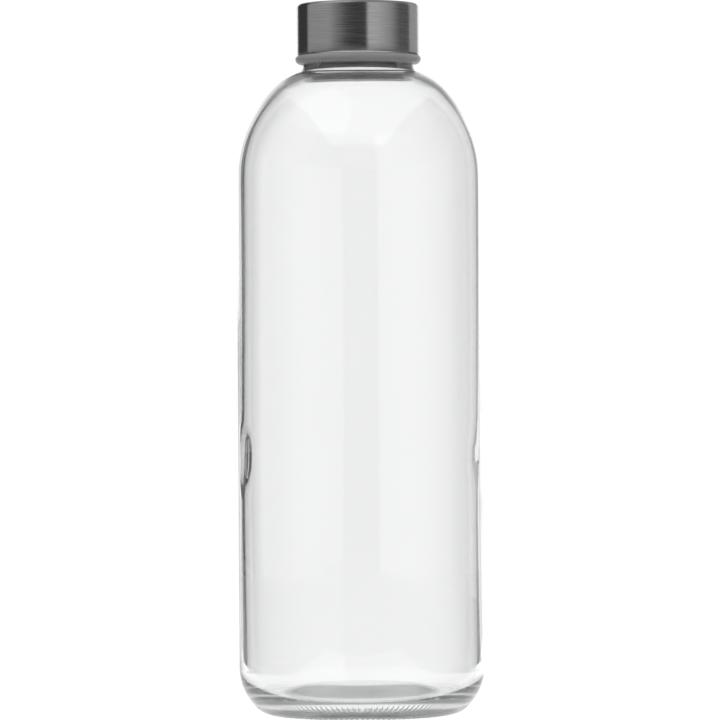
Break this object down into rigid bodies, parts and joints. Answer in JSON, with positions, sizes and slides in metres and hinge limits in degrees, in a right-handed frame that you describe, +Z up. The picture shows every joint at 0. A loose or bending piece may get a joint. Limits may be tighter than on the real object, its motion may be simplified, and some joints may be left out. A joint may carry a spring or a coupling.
{
  "type": "glass water bottle",
  "caption": "Clear glass water bottle with straight sides, domed shoulder, short neck and a brushed steel screw cap with threaded liner and seal.",
  "frame": {"origin": "on the bottle's axis, in the plane that it stands on", "axes": "+Z up along the bottle's axis from the base to the cap; X and Y are free, as the outside is round"},
  "size_m": [0.085, 0.085, 0.2457],
  "materials": {
    "clear_glass": "clear fire-polished soda-lime glass",
    "brushed_steel": "stainless steel brushed round the side",
    "liner_plastic": "natural polypropylene",
    "seal_silicone": "translucent white silicone"
  },
  "bodies": {
    "bottle": {"glass_bottle": "clear_glass"},
    "seal": {"cap_gasket": "seal_silicone"},
    "cap": {"cap_shell": "brushed_steel", "cap_insert": "liner_plastic"}
  },
  "joints": [
    {"name": "cap_rise", "type": "slide", "parent": "bottle", "child": "seal", "axis": [0, 0, 1], "range_m": [0, 0.01694]},
    {"name": "cap_turn", "type": "hinge", "parent": "seal", "child": "cap", "pos_m": [0, 0, 0.235], "axis": [0, 0, 1], "range_deg": [0, 1440]}
  ],
  "couplings": [
    {"joint": "cap_rise", "follows": "cap_turn", "m_per_rad": 0.0006737}
  ]
}
